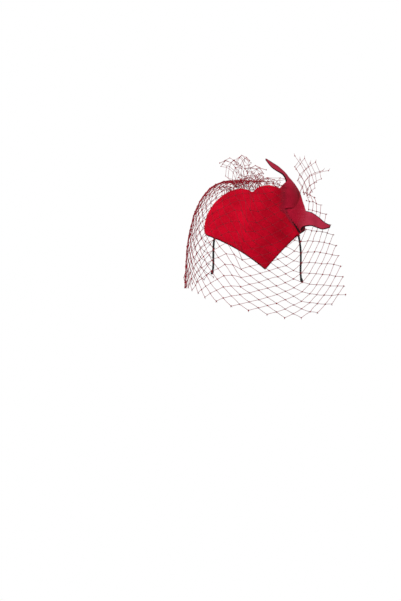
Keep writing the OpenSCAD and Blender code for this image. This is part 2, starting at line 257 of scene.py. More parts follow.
def frames_along(path, closed=False, first=None):
    """Unit direction, side and upward vectors at each point of a path, turning as little as they can."""
    if closed:
        tangent = unit(np.roll(path, -1, 0) - np.roll(path, 1, 0))
    else:
        tangent = unit(np.gradient(path, axis=0))
    if first is None:
        first = [0, 0, 1.0] if abs(tangent[0][2]) < 0.9 else [1.0, 0, 0]
    side = unit(np.cross(tangent[0], first))
    sides = []
    for d in tangent:
        side = unit(side - d * (side @ d))
        sides.append(side)
    sides = np.array(sides)
    return tangent, sides, np.cross(tangent, sides)


def tube(path, radius, sides=8, closed=False):
    """Points and faces of a closed tube along a path."""
    path = np.asarray(path, float)
    _, side, up = frames_along(path, closed)
    a = np.arange(sides) * 2 * np.pi / sides
    r = np.broadcast_to(radius, len(path))[:, None, None]
    round_it = np.cos(a)[None, :, None] * side[:, None] + np.sin(a)[None, :, None] * up[:, None]
    rings = path[:, None] + r * round_it
    n = len(path)
    if closed:
        rings = np.concatenate([rings, rings[:1]])
        shift = int(np.argmin(np.linalg.norm(rings[0] - rings[-2][:, None], axis=-1)[0]))
        rings = rings[:-1]
        faces = grid_faces(n, sides, closed=True)
        last, start = (n - 1) * sides, 0
        for i in range(sides):
            h = (i + 1) % sides
            faces.append((last + (i + shift) % sides, last + (h + shift) % sides, start + h, start + i))
        return rings.reshape(-1, 3), faces
    faces = grid_faces(n, sides, closed=True)
    faces += [tuple(range(sides - 1, -1, -1)), tuple(range((n - 1) * sides, n * sides))]
    return rings.reshape(-1, 3), faces


class Parts:
    """Collects points and faces of many small solids into one mesh."""

    def __init__(self):
        self.points, self.faces, self.count = [], [], 0

    def add(self, points, faces):
        self.points.append(np.asarray(points, float))
        self.faces += [tuple(i + self.count for i in f) for f in faces]
        self.count += len(points)

    def build(self, name, material):
        return mesh_object(name, np.vstack(self.points), self.faces, material)


def finished(obj, body, slot, *nodes):
    """Gives a piece its body and hides the CAD nodes that it stands for. The slot argument is not used."""
    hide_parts(*nodes)
    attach(obj, body)
    return obj


# ---- materials ----
def material(name, base, roughness=0.9, **sockets):
    m = bpy.data.materials.new(name)
    m.use_nodes = True
    shader = m.node_tree.nodes["Principled BSDF"]
    shader.inputs["Base Color"].default_value = (*base, 1)
    shader.inputs["Roughness"].default_value = roughness
    for key, value in sockets.items():
        shader.inputs[key.replace("_", " ")].default_value = value
    return m


def add_node(m, kind, **values):
    node = m.node_tree.nodes.new(kind)
    for key, value in values.items():
        if key in node.inputs:
            node.inputs[key].default_value = value
        else:
            setattr(node, key, value)
    return node


def link(m, a, out, b, into):
    m.node_tree.links.new(a.outputs[out], b.inputs[into])


def shader_of(m):
    return m.node_tree.nodes["Principled BSDF"]


def coordinates(m, stretch=(1, 1, 1), turn=(0, 0, 0)):
    """Places in the row frame, turned and then stretched."""
    coord = add_node(m, "ShaderNodeTexCoord")
    mapping = add_node(m, "ShaderNodeMapping")
    mapping.inputs["Scale"].default_value = stretch
    mapping.inputs["Rotation"].default_value = turn
    link(m, coord, "Object", mapping, "Vector")
    return mapping


def noise(m, scale, detail=3, rough=0.6, stretch=(1, 1, 1), turn=(0, 0, 0)):
    node = add_node(m, "ShaderNodeTexNoise", Scale=scale, Detail=detail, Roughness=rough)
    link(m, coordinates(m, stretch, turn), "Vector", node, "Vector")
    return node


def waves(m, scale, turn, distortion=0.6):
    node = add_node(m, "ShaderNodeTexWave", Scale=scale, Distortion=distortion, Detail=1.0)
    link(m, coordinates(m, turn=turn), "Vector", node, "Vector")
    return node


def blended(m, a, a_out, b, b_out, share):
    both = add_node(m, "ShaderNodeMix", data_type="FLOAT")
    both.inputs[0].default_value = share
    link(m, a, a_out, both, 2)
    link(m, b, b_out, both, 3)
    return both


def coloured(m, source, out, stops):
    """Base colour from a ramp over a source."""
    node = add_node(m, "ShaderNodeValToRGB")
    elements = node.color_ramp.elements
    while len(elements) < len(stops):
        elements.new(0.5)
    for e, (at, colour) in zip(elements, stops):
        e.position, e.color = at, (*colour, 1)
    link(m, source, out, node, "Fac")
    link(m, node, "Color", shader_of(m), "Base Color")


def bumped(m, source, out, strength, distance):
    node = add_node(m, "ShaderNodeBump", Strength=strength, Distance=distance)
    link(m, source, out, node, "Height")
    link(m, node, "Normal", shader_of(m), "Normal")


def felt(name, low, high, sheen, tint=(1, 0.3, 0.35), cloud=0.55):
    """Wool felt: matted fibres laid mostly one way, slow changes of shade and a soft nap."""
    m = material(name, high, 0.95, Sheen_Weight=sheen, Sheen_Roughness=0.5, Specular_IOR_Level=0.04)
    shader_of(m).inputs["Sheen Tint"].default_value = (*tint, 1)
    fibres = noise(m, 1500, 5, 0.7, (1, 0.35, 1), (0.3, 0.5, 0.4))
    grain = noise(m, 420, 4, 0.65, (1, 0.6, 1), (0.3, 0.5, 0.4))
    clouds = noise(m, 38, 3, 0.5)
    fine = blended(m, grain, "Fac", fibres, "Fac", 0.5)
    shade = blended(m, fine, 0, clouds, "Fac", cloud)
    coloured(m, shade, 0, [(0.36, low), (0.64, high)])
    bumped(m, fine, 0, 0.5, 0.0006)
    return m


def thread(name, low, high, scale=1400):
    """Twisted thread: fine slanting plies with dark hollows between them."""
    m = material(name, high, 0.75, Specular_IOR_Level=0.12)
    plies = waves(m, scale, (0.5, 0.6, 0.3), 1.5)
    strands = noise(m, scale, 3, 0.6)
    both = blended(m, plies, "Fac", strands, "Fac", 0.5)
    coloured(m, both, 0, [(0.3, low), (0.7, high)])
    bumped(m, both, 0, 0.4, 0.0002)
    return m


def satin(name, low, high):
    """Satin ribbon: long fine floats across it, glossy in bands."""
    m = material(name, high, 0.4, Sheen_Weight=0.15, Specular_IOR_Level=0.4)
    floats = noise(m, 900, 3, 0.55, (0.25, 2.5, 0.25))
    weave = waves(m, 900, (0, 0, 0.8), 0.8)
    both = blended(m, floats, "Fac", weave, "Fac", 0.4)
    coloured(m, both, 0, [(0.3, low), (0.7, high)])
    gloss = add_node(m, "ShaderNodeMapRange")
    gloss.inputs["To Min"].default_value, gloss.inputs["To Max"].default_value = 0.3, 0.55
    link(m, floats, "Fac", gloss, "Value")
    link(m, gloss, "Result", shader_of(m), "Roughness")
    bumped(m, both, 0, 0.25, 0.0003)
    return m


def buckram(name):
    """Open stiffened weave."""
    m = material(name, (0.55, 0.5, 0.4), 0.85, Specular_IOR_Level=0.3)
    warp, weft = waves(m, 320, (0, 0, 0.7)), waves(m, 320, (0, 1.57, 0.7))
    weave = blended(m, warp, "Fac", weft, "Fac", 0.5)
    coloured(m, weave, 0, [(0.25, (0.3, 0.27, 0.2)), (0.6, (0.62, 0.57, 0.45))])
    bumped(m, weave, 0, 0.6, 0.0004)
    return m


def drawn_wire(name):
    """Drawn steel: scored along its length, with dull patches."""
    m = material(name, (0.5, 0.5, 0.52), 0.35, Metallic=1.0)
    scores = noise(m, 1200, 3, 0.6, (1, 1, 0.1))
    coloured(m, scores, "Fac", [(0.3, (0.32, 0.32, 0.34)), (0.7, (0.62, 0.62, 0.64))])
    dull = add_node(m, "ShaderNodeMapRange")
    dull.inputs["To Min"].default_value, dull.inputs["To Max"].default_value = 0.25, 0.5
    link(m, scores, "Fac", dull, "Value")
    link(m, dull, "Result", shader_of(m), "Roughness")
    bumped(m, scores, "Fac", 0.15, 0.0001)
    return m


FELT_RED = felt("felt_red", (0.32, 0.0015, 0.010), (0.60, 0.0022, 0.020), 0.05, (1, 0.1, 0.15))
# felt_red_painted_shade: a darker copy of the red felt, painted shade where the felt turns away from the
# light beside the tails
FELT_RED_SHADED = felt("felt_red_painted_shade", (0.22, 0.003, 0.014), (0.36, 0.006, 0.026), 0.16, (1, 0.35, 0.4))
# felt_red_painted_sheen: a paler, pinker copy of the red felt, painted sheen where light grazes the tails
FELT_RED_SHEEN = felt("felt_red_painted_sheen", (0.24, 0.012, 0.028), (0.40, 0.026, 0.056), 0.24, (1, 0.4, 0.5))
# near-black felt for the tails' edges, the heart's edge roll and the slit: painted shade along edges and in
# the slit
FELT_EDGE_SHADE = felt("felt_edge", (0.016, 0.002, 0.004), (0.05, 0.004, 0.009), 0.06)
LINING = felt("lining_black", (0.005, 0.004, 0.005), (0.014, 0.011, 0.013), 0.08, (1, 1, 1))
NET_RED = thread("net_red", (0.20, 0.006, 0.014), (0.42, 0.016, 0.034))
THREAD_RED = thread("thread_red", (0.25, 0.006, 0.015), (0.40, 0.010, 0.03))
THREAD_BLACK = thread("thread_black", (0.006, 0.005, 0.006), (0.02, 0.016, 0.018))
SATIN_BLACK = satin("satin_black", (0.003, 0.003, 0.004), (0.014, 0.012, 0.014))
MATERIALS = {
    "felt_red": FELT_RED, "felt_edge": FELT_EDGE_SHADE, "buckram": buckram("buckram"), "lining_black": LINING,
    "wire_steel": drawn_wire("wire_steel"), "satin_black": SATIN_BLACK, "net_red": NET_RED,
    "thread_red": THREAD_RED, "thread_black": THREAD_BLACK,
}
for row in frame["record"]["subparts"]:
    node = frame["nodes"][row["node"]]
    node.data.materials.clear()
    node.data.materials.append(MATERIALS[row["material_slot"]])


# ---- the tails: pairs of edge lines, how far the root bulges, and which way the red side faces ----
UPPER = (
    [[61, -31, -21], [56, -18, -4], [52, -8, 6], [49, 0, 14], [46, 4, 21],
     [40, 6, 27.5], [28.5, 7, 33], [19.5, 8, 38.5], [10, 8, 49]],
    [[74, 12, -25], [67.5, 14, -7.5], [62.5, 15, 2.5], [55, 14, 14], [47.5, 13, 22],
     [40, 12, 30.5], [31, 11, 38], [21, 10, 44], [9.5, 9, 50.5]],
    -8, -1,
)
LOWER = (
    [[81, -31, -58], [86.5, -29, -54], [94.5, -35.5, -44.5], [108, -38.5, -41.5],
     [115.5, -34.5, -44], [123.5, -32.5, -46], [133, -29.5, -43.5]],
    [[57, -30, -24], [73.5, -21, -20.5], [91, -23.5, -22.5], [106, -32.5, -24],
     [115.5, -31.5, -29.5], [125.5, -30.5, -37], [134, -29.5, -40.5]],
    3, 1,
)
TAIL_SEAT = 1.5


def tail_at(tail, t, side, off=0.0):
    """A point of a tail: t from root to tip, side from inner to outer edge, off in front of its middle."""
    inner, outer, crown, facing = tail
    t, side = np.broadcast_arrays(np.asarray(t, float), np.asarray(side, float))
    a, b = smooth_at(inner, t), smooth_at(outer, t)
    ahead, behind = np.minimum(t + 0.03, 1), np.maximum(t - 0.03, 0)
    direction = unit(smooth_at(inner, ahead) + smooth_at(outer, ahead)
                     - smooth_at(inner, behind) - smooth_at(outer, behind))
    up = unit(np.cross(direction, (b - a) / 2))
    bulge = crown * (1 - side ** 2) * (1 - ease(2 * t))
    middle = (a + b) / 2 + side[..., None] * (b - a) / 2 + bulge[..., None] * up
    if tail is LOWER:
        sunk = TAIL_SEAT + dome_n(base_uv(middle)) - (middle - BASE_ORIGIN) @ BASE_N
        middle = middle + ((sunk + np.sqrt(sunk ** 2 + 1)) / 2)[..., None] * BASE_N
    return middle + np.asarray(off * facing)[..., None] * up


def flat_sheet(outline, thickness, voxel):
    """Points (u, v, n) and faces of a flat felt of that outline, its edges rounded."""
    bm = bmesh.new()
    face = bm.faces.new([bm.verts.new((x, y, -thickness)) for x, y in outline])
    grown = bmesh.ops.extrude_face_region(bm, geom=[face])
    for v in grown["geom"]:
        if isinstance(v, bmesh.types.BMVert):
            v.co.z = 0
    bmesh.ops.triangulate(bm, faces=bm.faces)
    bmesh.ops.recalc_face_normals(bm, faces=bm.faces)
    mesh = bpy.data.meshes.new("flat")
    bm.to_mesh(mesh)
    bm.free()
    obj = remeshed(new_object("flat", mesh), voxel / MM, 2)
    points = np.array([v.co for v in obj.data.vertices])
    faces = [tuple(p.vertices) for p in obj.data.polygons]
    bpy.data.objects.remove(obj)
    return points, faces


def strip(tail, rows, columns, near, far, t0=0.0, t1=0.985):
    """Points and faces of one layer of a tail between two distances from its middle."""
    t, side = np.meshgrid(np.linspace(t0, t1, rows), np.linspace(-1, 1, columns), indexing="ij")
    layers = []
    for off in (far, near):
        # the upper tail's root is the cover itself, so its layer sinks into it
        root = 1 - ease((t - 0.15) / 0.25) if tail is UPPER else np.zeros_like(t)
        wide = np.where(side < 0, side * (1 + 0.4 * root), side)
        layers.append(tail_at(tail, t, wide, off - 0.5 * root))
    points = np.concatenate([layer.reshape(-1, 3) for layer in layers])
    m = rows * columns
    faces = grid_faces(rows, columns) + grid_faces(rows, columns, m, flip=True)
    rim = ([(0, i) for i in range(columns)] + [(j, columns - 1) for j in range(1, rows)]
           + [(rows - 1, i) for i in range(columns - 2, -1, -1)] + [(j, 0) for j in range(rows - 2, 0, -1)])
    ids = [j * columns + i for j, i in rim]
    for a, b in zip(ids, ids[1:] + ids[:1]):
        faces.append((a, a + m, b + m, b))
    return points, faces


# ---- the felt: the heart with its slit, and the piece beside the slit that becomes the lower tail ----
SLIT = np.array([[41.0, 20.0], [48.0, 4.0], [56.4, -16.3], [59.5, -25.0]])
LIFT_FROM, LIFT_TO = np.array([46.0, 8.5]), np.array([60.0, -26.0])
ROOT_HEIGHTS = [[0.0], [5.2], [10.3], [14.5], [17.4], [18.6], [18.0], [15.7], [11.9]]
ROOT_FROM, ROOT_TO = np.array([41.0, 20.0]), np.array([78.0, 29.0])
TOP_CUT = int(np.argmin(np.linalg.norm(OUTLINE - [66, 25.7], axis=1)))
LOW_CUT = int(np.argmin(np.linalg.norm(OUTLINE - [59.5, -25], axis=1)))


def to_segment(p, a, b):
    """Share along a segment of the nearest point, and the distance from it."""
    d = b - a
    t = np.clip(((p - a) @ d) / (d @ d), 0, 1)
    return t, np.linalg.norm(p - (a + t[..., None] * d), axis=-1)


def slit_lift(p):
    """The front panel's edge stands up along the slit."""
    t, away = to_segment(p, LIFT_FROM, LIFT_TO)
    return 4.2 * np.exp(-(away / 11) ** 2) * ease(0.35 + 0.65 * t)


def root_lift(p):
    """Beside the slit the felt swells up to meet the root of the upper tail."""
    t, away = to_segment(p, ROOT_FROM, ROOT_TO)
    swelling = smooth_at(ROOT_HEIGHTS, t)[..., 0] - 3.2
    return np.maximum(swelling, 0) * np.exp(-(away / 13) ** 2)


def layer(middle, half):
    """Points and closed faces of a layer half as thick as its whole, either side of a grid of points."""
    rows, columns = middle.shape[:2]
    out = unit(np.cross(np.gradient(middle, axis=0), np.gradient(middle, axis=1)))
    n = rows * columns
    points = np.concatenate([(middle + half * out).reshape(-1, 3), (middle - half * out).reshape(-1, 3)])
    faces = grid_faces(rows, columns) + grid_faces(rows, columns, n, flip=True)
    rim = (list(range(columns)) + [j * columns + columns - 1 for j in range(1, rows)]
           + [(rows - 1) * columns + i for i in range(columns - 2, -1, -1)]
           + [j * columns for j in range(rows - 2, 0, -1)])
    for a, b in zip(rim, rim[1:] + rim[:1]):
        faces.append((a, a + n, b + n, b))
    return points, faces


def shoulder():
    """The lobe's felt rises in one sweep to the inner edge of the upper tail."""
    r, s = np.meshgrid(np.linspace(0, 1, 40), np.linspace(0, 1, 30), indexing="ij")
    line = smooth_at([[38.0, 17.0], [30.0, 24.0], [24.0, 33.0], [24.0, 41.5]], r)
    foot = dome(line, -0.9)
    ahead = dome(line + unit(np.array([1.0, 0.1])) * 12, 2.2)
    inner, outer = tail_at(UPPER, 0.44 * r, -0.92), tail_at(UPPER, 0.44 * r, 1.0)
    neck = inner + unit(inner - outer) * 9
    return layer(bezier((foot, ahead, neck, inner), s), 0.75)


def felt_piece(name, solids, material_, voxel=0.8, rounds=6):
    parts = Parts()
    for points, faces in solids:
        parts.add(points, faces)
    obj = parts.build(name, material_)
    outward(obj)
    return remeshed(obj, voxel, rounds)


def soften_root(obj):
    """The lobe flows into the upper tail: strong smoothing along the tail's inner edge."""
    line = tail_at(UPPER, np.linspace(0, 0.42, 30), -1.0)
    points = np.array([v.co for v in obj.data.vertices]) / MM
    away = np.min(np.linalg.norm(points[:, None] - line[None], axis=-1), axis=1)
    group = obj.vertex_groups.new(name="root")
    for i in np.flatnonzero(away < 20):
        group.add([int(i)], float(math.exp(-(away[i] / 10) ** 2)), "REPLACE")
    smoothed(obj, 60, 0.5, "root")


def mingled(obj, material_, share):
    """Faces take another felt as often as share says for their middles, in mm, so that the two mingle."""
    obj.data.materials.append(material_)
    middles = np.array([p.center for p in obj.data.polygons]) / MM
    chosen = rng.random(len(middles)) < share(middles)
    for polygon, other in zip(obj.data.polygons, chosen):
        if other:
            polygon.material_index = len(obj.data.materials) - 1


def near_upper_tail(points):
    line = tail_at(UPPER, np.linspace(0, 1, 60)[:, None], np.linspace(-1, 1, 7)[None]).reshape(-1, 3)
    away = np.min(np.linalg.norm(points[:, None] - line[None], axis=-1), axis=1)
    return ease((12 - away) / 9)


def main_felt():
    outline = np.vstack([OUTLINE[:TOP_CUT + 1], SLIT, OUTLINE[LOW_CUT + 1:]])
    flat, faces = flat_sheet(outline, COVER_T, 0.9)
    p = flat[:, :2]
    points = on_base(p, dome_n(p) + flat[:, 2] + slit_lift(p))
    obj = felt_piece("heart_felt", [(points, faces), strip(UPPER, 90, 22, 0.5, 1.6), shoulder()],
                     FELT_RED)
    soften_root(obj)
    # painted shade: faces near the upper tail's root take the darker copy of the felt
    mingled(obj, FELT_RED_SHADED, near_upper_tail)
    # painted sheen: the upper tail's higher faces take the pinker copy of the felt
    mingled(obj, FELT_RED_SHEEN, lambda p: ease((p[:, 2] - 6) / 26) * near_upper_tail(p))
    return obj


def gusset():
    """The fold of felt between the roots of the two tails."""
    t, s = np.meshgrid(np.linspace(0, 1, 24), np.linspace(0, 1, 16), indexing="ij")
    upper = tail_at(UPPER, 0.02 + 0.3 * t, 0.85, 1.3)
    lower = tail_at(LOWER, 0.02 + 0.36 * t, 0.9, 0.4)
    middle = mix(upper, lower, s[..., None]) + (np.sin(np.pi * s) * 2.2)[..., None] * BASE_N
    return layer(middle, 0.6)


def side_felt():
    inner = np.array([[53.0, -20.0], [46.0, -4.0], [37.0, 18.0], [44.0, 32.0]])
    outline = np.vstack([OUTLINE[TOP_CUT - 9:LOW_CUT + 2], inner])
    flat, faces = flat_sheet(outline, 1.5, 0.9)
    p = flat[:, :2]
    points = on_base(p, dome_n(p) + flat[:, 2] - 0.1 + root_lift(p))
    solids = [(points, faces), strip(LOWER, 70, 18, 0.5, 1.6), gusset()]
    # the whole side piece takes the darker copy of the felt: painted shade where it turns away from the light
    obj = felt_piece("side_felt", solids, FELT_RED_SHADED, rounds=10)
    # painted sheen: the lower tail's outer part takes the pinker copy of the felt
    mingled(obj, FELT_RED_SHEEN, lambda p: ease((p[:, 0] - 78) / 26))
    return obj


finished(main_felt(), "headpiece", "felt_red", "heart_cover", "upper_tail_face")
finished(side_felt(), "headpiece", "felt_red", "lower_tail_face")


def tail_backing(name, tail, node):
    points, faces = strip(tail, 80, 14, -1.3, -0.5, 0.36 if tail is UPPER else 0.12)
    obj = mesh_object(name, points, faces, LINING)
    outward(obj)
    finished(obj, "headpiece", "lining_black", node)


def tail_edge(name, tail, node, start):
    """A near-black rolled edge of a tail, out along its inner side, round the tip and back: painted shade on
    the felt's edge.
    """
    ts = np.linspace(start, 0.985, 90)
    path = np.vstack([tail_at(tail, ts, -1.0, -0.1), tail_at(tail, ts[::-1], 1.0, -0.1)])
    points, faces = tube(path, 0.55, 8)
    obj = mesh_object(name, points, faces, FELT_EDGE_SHADE)
    outward(obj)
    finished(obj, "headpiece", "felt_edge", node)


tail_backing("upper_backing", UPPER, "upper_tail_backing")
tail_backing("lower_backing", LOWER, "lower_tail_backing")
tail_edge("upper_edge", UPPER, "upper_tail_edging", 0.4)
tail_edge("lower_edge", LOWER, "lower_tail_edging", 0.2)


# ---- what stiffens and finishes the heart ----
def base_layer(name, top, bottom, edge, material_, rings=30):
    """A smooth closed sheet that follows the dome between two offsets."""
    shares = np.linspace(0.02, 1, rings) ** 0.8 * edge
    n = len(OUTLINE)
    points = [dome(OUTLINE * f, off) for off in (top, bottom) for f in shares]
    faces = grid_faces(rings, n, closed=True) + grid_faces(rings, n, rings * n, closed=True, flip=True)
    rim_top, rim_bottom = (rings - 1) * n, (2 * rings - 1) * n
    for i in range(n):
        h = (i + 1) % n
        faces.append((rim_top + i, rim_top + h, rim_bottom + h, rim_bottom + i))
    faces += [tuple(range(n)), tuple(range(rings * n, rings * n + n))]
    obj = mesh_object(name, np.vstack(points), faces, material_)
    outward(obj)
    return obj


FOUNDATION_EDGE = 0.952
stiffener = base_layer("stiffener", -COVER_T - GAP, -COVER_T - GAP - FOUNDATION_T, FOUNDATION_EDGE,
                       MATERIALS["buckram"])
finished(stiffener, "headpiece", "buckram", "heart_foundation")
finished(base_layer("lining_cloth", LINING_TOP, LINING_BOTTOM, FOUNDATION_EDGE, LINING),
         "headpiece", "lining_black", "heart_lining")


def binding():
    """The near-black felt roll round the heart's edge, a little uneven as if sewn by hand; its dark colour is
    painted shade under the heart's edge.
    """
    n = len(OUTLINE)
    wave = 0.08 * np.sin(np.arange(n) * 2 * np.pi * 60 / n)
    line = dome(OUTLINE * 0.974, (LINING_BOTTOM - COVER_T) / 2 - 0.1)
    points, faces = tube(line, 1.1 + wave, 10, closed=True)
    obj = mesh_object("edge_roll", points, faces, FELT_EDGE_SHADE)
    outward(obj)
    finished(obj, "headpiece", "felt_edge", "rim_binding")


binding()


def stitch(parts, a, b, lift, normal, radius=0.3):
    """One stitch between two points, bowed up off the cloth."""
    t = np.linspace(0, 1, 7)
    path = mix(a, b, t[:, None]) + (np.sin(np.pi * t) * lift)[:, None] * np.asarray(normal)
    parts.add(*tube(path, radius, 6))


def slit_stitches():
    """Dark slanting stitches that hold the lower tail's root along the slit."""
    parts = Parts()
    start, end = np.array([43.6, 17.0]), np.array([59.0, -17.5])
    along, count = end - start, 9
    across = unit(np.array([along[1], -along[0]]))
    for k in range(count):
        at = start + along * (k + 0.5) / count
        a, b = at - across * 2.2 - along * 0.02, at + across * 1.9 + along * 0.02
        rise = 1.2 + slit_lift(at[None])[0] * 0.9
        stitch(parts, dome(a, rise), dome(b, rise * 0.5 + 0.8), 0.6, BASE_N, 0.7)
    obj = parts.build("slit_stitches", THREAD_BLACK)
    finished(obj, "headpiece", "thread_black", "tail_stitches")


slit_stitches()


def slit_painted_shadow():
    """A dark tube inside the slit, fuller towards its lower end: painted shadow where the front panel's edge
    stands over the lower tail.
    """
    line = along_line(SLIT, 60)[:48]
    across = unit(np.array([1.0, 0.42]))
    path = dome(line + across * 1.1, 0.9 + slit_lift(line) * 0.55)
    points, faces = tube(path, np.linspace(0.5, 1.5, len(line)), 10)
    obj = mesh_object("slit_painted_shadow", points, faces, FELT_EDGE_SHADE)
    outward(obj)
    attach(obj, "headpiece")


slit_painted_shadow()


def lining_stitches():
    """Small stitches that catch the lining to the binding all round."""
    parts = Parts()
    line = along_line(np.vstack([OUTLINE, OUTLINE[:1]]) * 0.955, 84)
    for k in range(84):
        a = line[k]
        b = mix(a, line[k + 1], 0.5) * 1.012
        stitch(parts, dome(a, LINING_BOTTOM - 0.1), dome(b, LINING_BOTTOM - 0.1), 0.35, -BASE_N, 0.22)
    obj = parts.build("lining_stitches", THREAD_BLACK)
    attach(obj, "headpiece")


lining_stitches()


# ---- the veil's surface, as in the CAD: q runs from right to left, t from the gathers to the hem ----
VEIL_DROP, VEIL_RIGHT, VEIL_LEFT, VEIL_FRONT = 141, 92, 149, 136
HEM = [
    [8 - VEIL_RIGHT, 16, 6 - VEIL_DROP], [-VEIL_RIGHT, -24, 2 - VEIL_DROP],
    [13 - VEIL_RIGHT, -72, 2 - VEIL_DROP], [-44, 19 - VEIL_FRONT, 10 - VEIL_DROP],
    [8, -VEIL_FRONT, -VEIL_DROP], [64, 18 - VEIL_FRONT, -14 - VEIL_DROP],
    [VEIL_LEFT - 35, -66, -25 - VEIL_DROP], [VEIL_LEFT, -8, 2 - VEIL_DROP],
]
GATHER = [[-32, 2, 4], [-14, -14, 16], [62, -34, 24], [84, -4, -2]]
HEAD_MIDDLE = np.array([8, -22, -90])


def veil_at(q, t, off=0.6):
    """A point of the net's middle, or as far outside its inner face as off."""
    q = np.asarray(q, float)
    top, hem = bezier(GATHER, q), smooth_at(HEM, q)
    flare = ease((q - 0.58) / 0.42)[..., None]
    shoulder = top + (hem - top) * (0.6 - 0.25 * flare)
    side = top + (hem - top) * (0.98 - 0.2 * flare)
    shoulder[..., 2:] = 30 - 24 * flare
    side[..., 2:] = 2 - 62 * flare
    p = bezier((top, shoulder, side, hem), t)
    return p + off * unit(p - HEAD_MIDDLE)


SIDE = 13.8                                  # length of one side of the net's diamonds
HALF_CELL_TIGHT, HALF_CELL_OPEN = 6.8, 13.0  # half a cell's width, bunched and open
STRAND_R, KNOT_R = 0.29, 0.9


def veil_lattice():
    """Knots of the net: {(column, row): point}, every side about SIDE long, rows counted up from the hem."""
    fine = np.linspace(0, 1, 1200)
    hem = veil_at(fine, np.ones(1200))
    half_cell = mix(HALF_CELL_TIGHT, HALF_CELL_OPEN, ease((fine - 0.42) / 0.3)) + 4 * (1 - ease(fine / 0.22))
    count = np.concatenate([[0], np.cumsum(np.linalg.norm(np.diff(hem, axis=0), axis=1) / half_cell[1:])])
    columns = int(round(count[-1]))
    qs = np.interp(np.linspace(0, count[-1], columns + 1), count, fine)
    ts = np.linspace(1, 0.02, 240)
    grid = np.array([veil_at(np.full(240, q), ts) for q in qs])
    width = np.linalg.norm(np.gradient(grid, axis=0), axis=-1)
    longest = mix(7.6, 12.5, ease((6 - width) / 3))
    step = np.clip(np.sqrt(np.maximum(SIDE ** 2 - width ** 2, 1)), 6.0, longest)
    run = np.linalg.norm(np.diff(grid, axis=1), axis=-1)
    rows = np.concatenate([np.zeros((len(qs), 1)), np.cumsum(run / step[:, 1:], axis=1)], axis=1)
    knots = {}
    for i in range(len(qs)):
        for j in range(int(rows[i, -1]) + 1):
            if (i + j) % 2 == 0:
                knots[i, j] = veil_at(qs[i], np.interp(j, rows[i], ts)) + rng.normal(0, 0.4, 3)
    return knots


def unit_ball():
    bm = bmesh.new()
    bmesh.ops.create_icosphere(bm, subdivisions=1, radius=1)
    ball = np.array([v.co for v in bm.verts]), [tuple(v.index for v in f.verts) for f in bm.faces]
    bm.free()
    return ball


BALL = unit_ball()


def strand(parts, a, b, radius=STRAND_R, sag=0.4):
    t = np.linspace(0, 1, 4)
    path = mix(a, b, t[:, None]) + (np.sin(np.pi * t) * sag)[:, None] * rng.normal(0, 0.7, 3)
    parts.add(*tube(path, radius * (1 + 0.2 * np.abs(2 * t - 1)), 5))


def knot(parts, at, direction=(0.2, 0.1, 1), radius=KNOT_R):
    points, faces = BALL
    d = unit(direction)
    stretched = points * radius * rng.uniform(0.85, 1.15)
    parts.add(at + stretched + np.outer(stretched @ d, d) * 0.35, faces)


def whisker(parts, at, towards, length=2.4):
    """The cut end of a strand beyond its last knot."""
    away = unit(np.asarray(towards, float) + rng.normal(0, 0.25, 3))
    parts.add(*tube(np.array([at, at + away * length * 0.5, at + away * length]), [0.28, 0.24, 0.15], 5))


def net(parts, knots, hidden=None, radius=STRAND_R, knot_radius=KNOT_R):
    """Strands and knots of a lattice whose neighbours are one column and one row apart."""
    names = list(knots)
    places = np.array([knots[k] for k in names])
    steps = [(k, (k[0] + 1, k[1] + step)) for k in names for step in (1, -1)]
    pairs = [(a, b) for a, b in steps if b in knots]
    middles = np.array([(knots[a] + knots[b]) / 2 for a, b in pairs])
    gone = set() if hidden is None else {k for k, out in zip(names, hidden(places)) if out}
    cut = np.zeros(len(pairs), bool) if hidden is None else hidden(middles)
    used = set()
    for (a, b), out in zip(pairs, cut):
        if out or (a in gone and b in gone):
            continue
        strand(parts, knots[a], knots[b], radius)
        used.update((a, b))
    for k in used:
        knot(parts, knots[k], radius=knot_radius)
    return used


def tail_samples():
    t, side = np.meshgrid(np.linspace(0, 1, 50), np.linspace(-1.04, 1.04, 13), indexing="ij")
    return np.concatenate([tail_at(tail, t, side).reshape(-1, 3) for tail in (UPPER, LOWER)])


SHOWN = unit([0.48, -0.87, 0.12])            # the tails stand in front of the net, seen from here
TAILS = tail_samples()


def in_front_of_tails(points):
    """True at the places that would lie in front of a tail or touch it; the net has no strands there."""
    out = np.zeros(len(points), bool)
    for k, p in enumerate(points):
        d = TAILS - p
        depth = d @ SHOWN
        off = np.linalg.norm(d - depth[:, None] * SHOWN, axis=1)
        out[k] = bool(np.any((off < 2.6) & (depth > -60) & (depth < 2.5)))
    return out


def veil():
    parts = Parts()
    lattice = veil_lattice()
    used = net(parts, lattice, in_front_of_tails)
    last = max(i for i, _ in lattice)
    for i, j in sorted(used):
        p = lattice[i, j]
        if j <= 1 and (i - 1, j - 1) not in used and (i + 1, j - 1) not in used:
            whisker(parts, p, (0.35, 0, -1))
            whisker(parts, p, (-0.35, 0, -1))
        elif i == last:
            whisker(parts, p, (0.6, 0.8, 0))
        elif i == 0:
            whisker(parts, p, (-0.2, 1, 0))
    return parts.build("veil_net", NET_RED)


veil_net = veil()
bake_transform(veil_net)
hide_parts("veil_visor_right", "veil_visor_front", "veil_visor_left", "veil_crown",
            "veil_left_panel", "veil_right_panel")


# ---- the bunched net behind the notch, and the tufts ----
def patch(parts, surface, columns, rows, jitter=0.8, ends=()):
    """A piece of the same net laid on a surface(a, b), both from 0 to 1."""
    knots = {(i, j): surface(i / columns, j / rows) + rng.normal(0, jitter, 3)
             for i in range(columns + 1) for j in range(rows + 1) if (i + j) % 2 == 0}
    net(parts, knots, radius=0.24, knot_radius=0.75)
    for i, j in knots:
        if j == rows and "top" in ends:
            up = surface(i / columns, 1.0) - surface(i / columns, 1 - 1 / rows)
            whisker(parts, knots[i, j], up, 4)


